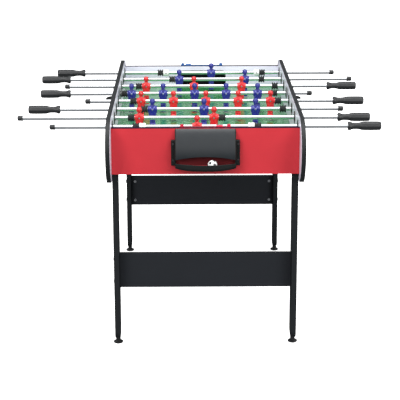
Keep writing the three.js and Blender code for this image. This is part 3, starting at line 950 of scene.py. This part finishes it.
def wings(node, side):
    """The flanges beside the hood, each with two fixing screws."""
    bm = bmesh.new()
    for x_side in SIDES.values():
        inner, outer = span(x_side, HOOD["half"] - 2.2, WING["half"])
        corners = rectangle(inner, WING["bottom"], outer, WING["top"])
        outline = [outward(side, x, 0, z)[::2] for x, z in corners]
        if side > 0:
            outline = outline[::-1]
        low, high = span(side, END_OUTER + BACK_GAP, END_OUTER + WING["depth"])
        plate(bm, rounded(outline, 2.5), low, high, along_y, 2.2, cuts=4)
        for z in (WING["bottom"] + 17, WING["top"] - 12):
            centre = outward(side, x_side * (WING["half"] - 6.2), WING["depth"] - 0.4, z)
            screw_head(bm, centre, along_y, side, 3.2, 1.5, look=1)
    piece(f"{node}_wings", bm, [TRAY, BLACK_STEEL], TABLE)


# ---- Ball ----


# Directions from the ball's middle to two neighbouring black patches.
PATCHES = (Vector((0.50, -0.85, 0.16)), Vector((-0.55, -0.58, 0.60)))


def axes_of(first, second):
    """Right-angled axes laid along two directions, as a matrix's columns."""
    middle, across = (first + second).normalized(), (first - second).normalized()
    across = (across - middle * across.dot(middle)).normalized()
    return Matrix((middle, across, middle.cross(across))).transposed()


def ball():
    """A white ball with twelve black patches and grooves between its panels."""
    low, high = box_mm("ball")
    centre, radius = (low + high) / 2, (high.z - low.z) / 2
    frame_bm = bmesh.new()
    bmesh.ops.create_icosphere(frame_bm, subdivisions=1, radius=1)
    frame_bm.edges.ensure_lookup_table()
    edge = frame_bm.edges[0]
    third = edge.calc_length() / 3
    tilt = axes_of(*PATCHES) @ axes_of(edge.verts[0].co, edge.verts[1].co).transposed()
    corners = frame_bm.verts[:]
    bmesh.ops.bevel(frame_bm, geom=corners, offset=third, affect="VERTICES", segments=1, profile=0.5)
    bm = bmesh.new()
    for panel in frame_bm.faces:
        corners = [vert.co.normalized() for vert in panel.verts]
        middle = sum(corners, Vector()).normalized()
        look = 1 if len(corners) == 5 else 0
        for i, corner in enumerate(corners):
            ball_wedge(bm, (middle, corners[i - 1], corner), tilt, centre, radius, look)
    frame_bm.free()
    piece("ball_with_patches", bm, [BALL_WHITE, BALL_BLACK], "ball", ["ball"], sharp=80)


def ball_wedge(bm, corners, tilt, centre, radius, look, steps=8, groove=0.022):
    """One triangle of a panel, from its middle to one of its sides, pressed in along the side."""
    grid = []
    for i in range(steps + 1):
        row = []
        for j in range(i + 1):
            weights = (1 - i / steps, (i - j) / steps, j / steps)
            point = sum((w * corner for w, corner in zip(weights, corners)), Vector()).normalized()
            pressed = 1 - groove * max(0.0, 1 - weights[0] * 9) ** 2
            row.append(Vector(centre) + tilt @ point * radius * pressed)
        grid.append(ring(bm, row))
    for i in range(steps):
        for j in range(i + 1):
            face(bm, (grid[i][j], grid[i + 1][j], grid[i + 1][j + 1]), look)
            if j < i:
                face(bm, (grid[i][j], grid[i + 1][j + 1], grid[i][j + 1]), look)


# ---- Score rails ----

SCORE = {"post": 12, "strip": 1.6, "rib": 3.4, "rib_half": 3.7}


def score_rail(name):
    """A strip with a notched rib and a domed post at each end, for a sliding marker."""
    node = f"score_rail_{name}"
    low, high = box_mm(node)
    middle_y = (low.y + high.y) / 2
    post, dome = SCORE["post"], 5
    bm = bmesh.new()
    base = rounded(rectangle(low.x, low.y, high.x, high.y), 1.2)
    plate(bm, base, low.z, low.z + SCORE["strip"], along_z, 0.4)
    for x0, x1 in ((low.x, low.x + post), (high.x - post, high.x)):
        shape = [(x0, low.z + 0.2), (x1, low.z + 0.2)]
        shape += arc(((x0 + x1) / 2, high.z - dome), (post / 2, dome), 0, 180, 14)
        plate(bm, shape, low.y + 0.3, high.y - 0.3, along_y, 1.2, look=2)
    half = SCORE["rib_half"]
    crown = low.z + SCORE["rib"]
    rib = [(middle_y - half, low.z + 0.3), (middle_y + half, low.z + 0.3)]
    rib += arc((middle_y, crown - 1.2), (half, 1.2), 0, 180, 10)
    notches = 11
    pitch_mm = (high.x - low.x - 2 * post) / notches
    for i in range(notches):
        x = low.x + post + pitch_mm * (i + 0.5)
        plate(bm, rib, x - pitch_mm * 0.42, x + pitch_mm * 0.42, along_x, 0.3, cuts=2)
    for x in (low.x + post / 2, high.x - post / 2):
        screw_head(bm, (x, middle_y, high.z - 1.1), along_z, 1, 2.6, 0.9, look=1)
    # The strip and rib take the darker copy of the scorer plastic as painted shade.
    looks = [SCORER_SHADED[name], BLACK_STEEL, SCORER[name]]
    piece(f"{node}_body", bm, looks, TABLE, [node])


def score_marker(name):
    """A saddle over the rail's rib, with finger ridges on top."""
    node = f"score_marker_{name}"
    low, high = box_mm(node)
    middle_x, y = (low.x + high.x) / 2, (low.y + high.y) / 2
    half, crown, ridge_gap = 5, 3.6, 3.4
    slot_half, slot_top = SCORE["rib_half"] + 0.3, low.z + SCORE["rib"] - SCORE["strip"]
    bm = bmesh.new()
    outline = [
        (y - half, low.z), (y - slot_half, low.z), (y - slot_half, slot_top), (y + slot_half, slot_top),
        (y + slot_half, low.z), (y + half, low.z),
    ] + arc((y, high.z - crown), (half, crown - 0.4), 0, 180, 14)
    plate(bm, outline, low.x, high.x, along_x, 0.5)
    ridge = arc((y, high.z - crown), (half - 0.1, crown), 20, 160, 12)
    for i in range(-2, 3):
        x = middle_x + i * ridge_gap
        plate(bm, ridge, x - 0.6, x + 0.6, along_x, 0.3, cuts=1)
    piece(f"{node}_saddle", bm, [SCORER[name]], node, [node])


# ---- Ball entries ----


def entry_spout(bm, side, face_x, z):
    """The half-round cup under the hole, into which the ball is laid."""
    low, rim_out, rim_in = z - 21.5, 1.0, 0.86
    columns = 28
    rows = []
    for reach, height in (
        (0.02, low), (rim_out * 0.93, low + 0.2), (rim_out, low + 1.2), (rim_out, z - 16.6),
        (0.97, z - 15.9), (0.9, z - 15.9), (rim_in, z - 16.6), (0.78, z - 18.4), (0.4, z - 18.9),
        (0.02, z - 19),
    ):
        points = []
        for i in range(columns + 1):
            angle = math.pi * (i / columns - 0.5)
            raised = height + (3.2 * (1 - math.cos(angle)) if height > z - 17 else 0)
            depth = ENTRY["lip"] * reach * math.cos(angle)
            points.append((face_x + side * depth, ENTRY["lip_half"] * reach * math.sin(angle), raised))
        rows.append(ring(bm, points))
    bands(bm, rows + rows[:1], closed=False)
    for i in (0, columns):
        face(bm, [row[i] for row in rows])


def ball_entry(name, side):
    node = f"ball_entry_{name}"
    low, high = box_mm(node)
    z = high.z - ENTRY["flange"]
    face_x = MID_X + side * (SIDE_OUTER + BACK_GAP)
    back = SIDE_INNER - SIDE_OUTER - BACK_GAP
    profile = [
        (back, ENTRY["bore"]), (back, ENTRY["sleeve"]), (0, ENTRY["sleeve"]), (0, 21.4), (0.5, 22),
        (1.6, 22), (2.4, 21.2), (2.5, 19.2), (2.2, 18), (1.6, 17), (0.6, ENTRY["bore"]),
    ]
    bm = bmesh.new()
    turn(bm, profile, (face_x, 0, z), along_x, side, 64, closed=True)
    entry_spout(bm, side, face_x, z)
    for y, up in arc((0, 0), (19.6, 19.6), 30, 150, 1):
        screw_head(bm, (face_x + side * 2.2, y, z + up), along_x, side, 1.9, 0.8, look=1)
    piece(f"{node}_cup", bm, [TRAY, BLACK_STEEL], TABLE, [node])


# ---- Rods ----

GRIP_PROFILE = (
    # along from the outer end, radius, how flat its eight sides are
    (0, 0, 0), (0, 8.5, 0), (0.6, 10.6, 0.3), (2.2, 12.5, 0.7), (4.6, 13.4, 1), (12, 13.8, 1),
    (28, 14, 1), (44, 13.9, 1), (56, 13.5, 1), (61, 13.0, 1), (63, 12.2, 0.8), (66, 11.2, 0.5),
    (70, 10.5, 0.2), (76, 10.1, 0), (83, 10.0, 0), (88, 10.4, 0.1), (92, 11.5, 0.5), (95, 12.9, 0.9),
    (97, 13.5, 1), (101.4, 13.5, 1), (102.6, 12.9, 0.9), (103, 12.0, 0.8), (103, 8.4, 0),
    (101.6, 7.0, 0), (99, ROD_BORE, 0), (25, ROD_BORE, 0), (25, 0, 0),
)


def grip(key, side, outer_x, place):
    """A moulded grip: eight flats on a slightly barrelled body, a smooth waist and a flared collar."""
    flats = {along: flat for along, _, flat in GRIP_PROFILE}
    step = math.pi / 4

    def reach(along, radius, angle):
        wedge = (angle % step) - step / 2
        flat = min(radius, radius * math.cos(step / 2) / math.cos(wedge) * 1.035)
        return radius + (flat - radius) * flats[along]

    bm = bmesh.new()
    profile = [(along, radius) for along, radius, _ in GRIP_PROFILE]
    turn(bm, profile, (outer_x, place.y, place.z), along_x, -side, 96, radius_at=reach)
    piece(f"{key}_grip", bm, [GRIP], f"{key}_rod", [f"{key}_handle"], sharp=50)


def end_cap(key, side, outer_x, place):
    profile = [
        (0, 0), (0.15, 3), (0.8, 5.6), (1.9, 7.2), (3.6, 8.0), (5, 8.15), (13.2, 8.15), (13.6, 8.5),
        (17.1, 8.5), (17.6, 8.1), (17.6, ROD_RADIUS), (5, ROD_RADIUS), (5, 0),
    ]
    bm = bmesh.new()
    turn(bm, profile, (outer_x, place.y, place.z), along_x, side, 40)
    piece(f"{key}_end_cap", bm, [CAP_PLASTIC], f"{key}_rod")


FLANGES = 3


def bumper(node, body):
    """A rubber ring with three flanges."""
    low, high = box_mm(node)
    centre = (low + high) / 2
    length = high.x - low.x
    radius, waist, bore, half = 12.0, 9.0, ROD_BORE, 2.3
    profile = [(0, bore), (0, radius - 1)]
    for i in range(FLANGES):
        middle = half + (length - 2 * half) * i / (FLANGES - 1)
        start, end = middle - half, middle + half
        if i:
            profile += [(start - 0.6, waist), (start + 0.2, waist + 0.5), (start + 0.5, radius - 1)]
        profile += [(start + 1.0, radius - 0.15), (middle, radius), (end - 1.0, radius - 0.15)]
        if i < FLANGES - 1:
            profile += [(end - 0.5, radius - 1), (end - 0.2, waist + 0.5), (end + 0.6, waist)]
    profile += [(length, radius - 1), (length, bore)]
    bm = bmesh.new()
    turn(bm, profile, (low.x, centre.y, centre.z), along_x, 1, 56, closed=True)
    piece(f"{node}_ring", bm, [RUBBER], body, [node], sharp=60)


def collar(node, body, place):
    """A white stop collar with a grub screw."""
    low, high = box_mm(node)
    length, radius = high.x - low.x, 12.0
    profile = [
        (0, ROD_BORE), (0, 9.2), (0.4, 11.2), (1.4, 12), (length * 0.3, 12), (length * 0.34, 11.5),
        (length * 0.66, 11.5), (length * 0.7, 12), (length - 1.4, 12), (length - 0.4, 11.2),
        (length, 9.2), (length, ROD_BORE),
    ]
    bm = bmesh.new()
    turn(bm, profile, (low.x, place.y, place.z), along_x, 1, 56, closed=True)
    socket = [(-3, 0), (-3, 2.6), (0.1, 2.6), (0.25, 2.4), (0.25, 1.5), (-1.4, 1.4), (-1.4, 0)]
    grub = ((low.x + high.x) / 2, place.y - radius + 0.5, place.z)
    turn(bm, socket, grub, along_y, -1, 24, look=1)
    piece(f"{node}_ring", bm, [COLLAR, BLACK_STEEL], body, [node])


def rod_tube(key, place):
    """A chromed tube, from the end cap to inside the grip."""
    low, high = box_mm(f"{key}_rod")
    start = low.x + 4
    length = high.x - 4 - start
    edge, radius, bore = 0.4, ROD_RADIUS, 5.0
    profile = [
        (0, bore), (0, radius - edge), (edge, radius), (length - edge, radius), (length, radius - edge),
        (length, bore),
    ]
    bm = bmesh.new()
    turn(bm, profile, (start, place.y, place.z), along_x, 1, 40, closed=True)
    piece(f"{key}_tube", bm, [CHROME], f"{key}_rod", [f"{key}_rod"])


# ---- Players ----

HEAD_Z = 25


LIMBS = (
    # sides of the ring, then sections: x, y, half width, half depth, z, squareness
    (20, (
        (11.4, 0.4, 2.8, 3.0, 11.0, 2), (12.3, 0.4, 3.5, 4.4, 9.0, 2), (12.4, 0.2, 3.5, 4.6, 4, 2),
        (12.4, -0.4, 3.5, 4.2, 0, 2), (12.4, -1.2, 3.4, 3.7, -4, 2), (12.1, -2.4, 3.1, 3.3, -8, 2),
        (11.3, -3.4, 2.7, 3.0, -11, 2), (10.6, -3.8, 1.6, 1.9, -13, 2),
    )),
    (24, (
        (6.3, 0, 6.2, 8.4, -20, 2.6), (6.3, 0, 6.3, 8.5, -25, 2.6), (6.2, 0, 5.9, 8.0, -25.8, 2.6),
    )),
    (24, (
        (5.2, 0, 4.6, 6.6, -23, 2.3), (5.0, 0.2, 4.4, 6.2, -30, 2.3), (4.8, 0.4, 4.2, 5.8, -36, 2.3),
        (4.8, 0.5, 4.3, 6.2, -42, 2.3), (4.9, 0.2, 4.5, 6.8, -48, 2.6),
    )),
    (24, (
        (4.9, 0.3, 4.7, 6.6, -38.6, 2.4), (4.9, 0.3, 4.9, 7.0, -39.6, 2.4),
        (4.9, 0.3, 4.7, 6.6, -40.6, 2.4),
    )),
)


def player_body():
    """Torso, neck, arms, shorts, legs and the striking block, about the rod's axis and facing -Y."""
    bm = bmesh.new()
    loft(bm, [
        ((0, 0), 12.2, 7.4, -24, 2.8), ((0, 0), 12.6, 8.1, -21, 2.8), ((0, 0), 12.6, 8.2, -15, 2.7),
        ((0, 0), 12.6, 8.0, -12.5, 2.6), ((0, -0.2), 13.2, 8.3, -8, 2.6), ((0, -0.3), 14.0, 8.8, -3, 2.7),
        ((0, -0.3), 14.4, 8.9, 2, 2.7), ((0, -0.1), 14.2, 8.3, 6, 2.6), ((0, 0.2), 12.6, 7.2, 9.5, 2.5),
        ((0, 0.4), 8.6, 6.2, 12.2, 2.3), ((0, 0.4), 6.2, 5.6, 14.2, 2), ((0, 0.3), 5.4, 5.3, 16, 2),
        ((0, 0), 5.2, 5.2, 20.5, 2),
    ])
    for side in SIDES.values():
        for sides, limb in LIMBS:
            mirrored = [((side * x, y), wide, deep, z, flat) for x, y, wide, deep, z, flat in limb]
            loft(bm, mirrored, sides)
    loft(bm, [((0, 0), 4.5, 5.2, -24, 2.5), ((0, 0.2), 4.5, 4.6, -44, 2.5)], 20)
    loft(bm, [
        ((0, 0), 8.6, 7.4, -44.5, 4), ((0, 0), 9.6, 9.2, -46.5, 5), ((0, 0), 9.9, 10.8, -49.5, 6),
        ((0, 0), 10.0, 11.3, -54, 7), ((0, 0), 10.0, 11.3, -60.6, 7), ((0, 0), 9.6, 10.8, -61.8, 6),
    ], 40)
    turn(bm, [(-15.2, 0), (-15.2, 8.2), (15.2, 8.2), (15.2, 0)], (0, 0, 0), along_x, 1, 32)
    return bm


def painted_chest_highlight(bm, at, facing):
    """A pale V on the chest, from the screw up to the shoulders: a painted highlight where light falls on
    the shoulders' front slopes.
    """
    line = [(0.6, 1.0, 8.7), (3.2, 4.2, 8.5), (5.8, 7.2, 7.6), (8.0, 9.6, 5.9)]
    for side in SIDES.values():
        loft(bm, [
            ((at.x + side * x, at.y + facing * depth), 1.0, 0.9, at.z + z, 2) for x, z, depth in line
        ], 10, look=1)


def player_head(bm):
    """An oval head with cropped hair, ears and plain, even features."""
    def ball_at(centre, radii, flat=2.0):
        steps = 16
        sections = []
        for i in range(1, steps):
            angle = math.pi * i / steps - math.pi / 2
            size = math.cos(angle)
            z = centre[2] + radii[2] * math.sin(angle)
            sections.append((centre[:2], radii[0] * size, radii[1] * size, z, flat))
        loft(bm, sections, 32)

    ball_at((0, 0.6, HEAD_Z + 0.8), (8.7, 9.0, 9.4))
    ball_at((0, -1.4, HEAD_Z - 4.0), (6.8, 7.0, 7.2), 2.3)
    ball_at((0, 1.2, HEAD_Z + 2.3), (9.0, 9.2, 8.1))
    ball_at((0, -8.6, HEAD_Z - 2.0), (1.1, 1.6, 2.1))
    ball_at((0, -7.8, HEAD_Z + 1.6), (5.2, 1.1, 0.9))
    ball_at((0, -7.8, HEAD_Z - 6.2), (2.2, 0.8, 0.5))
    ball_at((0, -7.0, HEAD_Z - 9.2), (2.9, 1.5, 1.4))
    for side in SIDES.values():
        ball_at((side * 8.6, 0.8, HEAD_Z - 1.0), (0.9, 1.8, 2.4))
        ball_at((side * 2.9, -7.4, HEAD_Z + 0.2), (1.2, 0.7, 0.6))


def player_mesh():
    """One smooth skin over the player's overlapping parts."""
    bm = player_body()
    player_head(bm)
    rough = linked("player_parts", mesh_of(bm, "player_parts", []))
    modifier(rough, "REMESH", mode="VOXEL", voxel_size=0.5 * MM, use_smooth_shade=True)
    modifier(rough, "SMOOTH", factor=0.6, iterations=5)
    modifier(rough, "DECIMATE", ratio=0.18)
    depsgraph = bpy.context.evaluated_depsgraph_get()
    mesh = bpy.data.meshes.new_from_object(rough.evaluated_get(depsgraph))
    bpy.data.objects.remove(rough)
    mesh.shade_smooth()
    return mesh


def player_places(key, place):
    count, pitch_mm = PLAYERS[key.split("_")[1]]
    return [place + Vector(((i - (count - 1) / 2) * pitch_mm, 0, 0)) for i in range(count)]


def players(key, place, meshes):
    """The men on a rod, the screw and nut that hold each one, and a painted highlight V on each chest."""
    team = key.split("_")[0]
    facing = 1 if team == "red" else -1
    body = f"{key}_rod"
    bm = bmesh.new()
    for number, at in enumerate(player_places(key, place), 1):
        man = linked(f"{key}_player_{number}", meshes[team])
        man.matrix_world = Matrix.Translation(at * MM)
        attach(man, body)
        screw_head(bm, at + Vector((0, facing * 8.4, 0)), along_y, facing, 3.0, 1.6)
        nut(bm, at + Vector((0, -facing * 8.2, 0)), along_y, -facing, 5.5, 2.0)
        # The pale V is a painted highlight, not a printed trim.
        painted_chest_highlight(bm, at, facing)
    piece(f"{key}_player_screws", bm, [ZINC, HIGHLIGHT_PLASTIC[team]], body)


def team_meshes():
    """The player's mesh in each team's plastic, turned to face the other team's end."""
    shared = player_mesh()
    made = {}
    for team, look in TEAM.items():
        made[team] = shared.copy()
        made[team].materials.clear()
        made[team].materials.append(look)
        if team == "red":
            made[team].transform(Matrix.Rotation(math.pi, 4, "Z"))
    return made


def rod_sets():
    meshes = team_meshes()
    for key, place in RODS.items():
        side = -1 if key.startswith("blue") else 1
        rod_low, rod_high = box_mm(f"{key}_rod")
        handle_low, handle_high = box_mm(f"{key}_handle")
        rod_tube(key, place)
        grip(key, side, handle_low.x if side < 0 else handle_high.x, place)
        end_cap(key, side, rod_high.x if side < 0 else rod_low.x, place)
        players(key, place, meshes)
        for name in SIDES:
            node = f"{key}_bumper_{name}"
            bumper(node, frame["nodes"][node]["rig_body"])
        if key.endswith("goalie"):
            for name in SIDES:
                collar(f"{key}_collar_{name}", f"{key}_slider", place)


# ---- Studio ----

CAMERA = {
    "place": (-0.02816, -4.70753, 1.65156),
    "lens": 126.667,
    "pitch": 0.2724575,
    "yaw": -0.0086610,
    "roll": -0.0022719,
}

# The world's strength for light on the object: low behind it and near the floor, high above and in front.
DIM = 0.22
BRIGHT = 1.1

# Lights: name, place, the point they aim at, size and power in watts
LIGHTS = (
    ("overhead", (0, -0.3, 3.4), (0, 0, 0.6), (3.2, 2.6), 80),
    ("front_left", (-2.6, -3.6, 2.4), (0, 0, 0.5), (1.8, 1.8), 75),
    ("front_right", (2.8, -3.2, 2.0), (0, 0, 0.5), (1.8, 1.8), 60),
)


def camera():
    data = bpy.data.cameras.new("camera")
    data.lens = CAMERA["lens"]
    data.clip_end = 200
    made = linked("camera", data)
    yaw = Matrix.Rotation(CAMERA["yaw"], 4, "Z")
    pitch = Matrix.Rotation(math.pi / 2 - CAMERA["pitch"], 4, "X")
    roll = Matrix.Rotation(CAMERA["roll"], 4, "Z")
    made.matrix_world = Matrix.Translation(CAMERA["place"]) @ yaw @ pitch @ roll
    bpy.context.scene.camera = made


def soft_light(name, place, aim, size, power):
    data = bpy.data.lights.new(name, "AREA")
    data.shape = "RECTANGLE"
    data.size, data.size_y = size
    data.energy = power
    made = linked(name, data)
    made.location = place
    made.rotation_euler = (Vector(aim) - Vector(place)).to_track_quat("-Z", "Y").to_euler()


def floor():
    """A studio floor that is white to the camera and dark to the object above it."""
    bm = bmesh.new()
    bmesh.ops.create_grid(bm, x_segments=1, y_segments=1, size=60)
    look = Look("studio floor", specular=0.0)
    seen = look.seen()
    grain = look.mix(look.noise(3, 4), srgb(112, 114, 116), srgb(124, 126, 128))
    material = look.finish(look.mix(seen, grain, (1, 1, 1, 1)), 0.9)
    look.shader.inputs["Emission Color"].default_value = (1, 1, 1, 1)
    look.join(seen, look.shader.inputs["Emission Strength"])
    made = linked("studio_floor", mesh_of(bm, "studio_floor", [material]))
    made.location.z = -0.0005


def world():
    """White to the camera. To the object it is bright above and in front, and dim behind."""
    made = bpy.data.worlds.new("studio")
    made.use_nodes = True
    nodes = Nodes(made.node_tree)
    direction = nodes.axes(nodes.node("ShaderNodeTexCoord").outputs["Generated"])
    frontward = nodes.math("MULTIPLY", direction["Y"], -0.45)
    toward_light = nodes.math("ADD", frontward, direction["Z"])
    strength = nodes.spread(toward_light, DIM, BRIGHT, 0.35, 0.8)
    shade = nodes.tree.nodes["Background"]
    shade.inputs["Color"].default_value = (1, 1, 1, 1)
    nodes.join(nodes.mix(nodes.seen(), strength, (1, 1, 1, 1)), shade.inputs["Strength"])
    bpy.context.scene.world = made


def studio():
    camera()
    world()
    floor()
    for light in LIGHTS:
        soft_light(*light)
    bpy.context.scene.view_settings.view_transform = "Standard"


# ---- The whole object ----


def build():
    playfield()
    for name, side in SIDES.items():
        side_panel(name, side)
        bearings(name, side)
        cabinet_screws(name, side)
        ball_entry(name, side)
    for name, side in ENDS.items():
        end_panel(name, side)
        stretcher(name, side)
        ball_return(name, side)
        score_rail(name)
        score_marker(name)
        for side_name in SIDES:
            leg(name, side_name)
            foot(name, side_name)
    ball()
    rod_sets()


build()
studio()
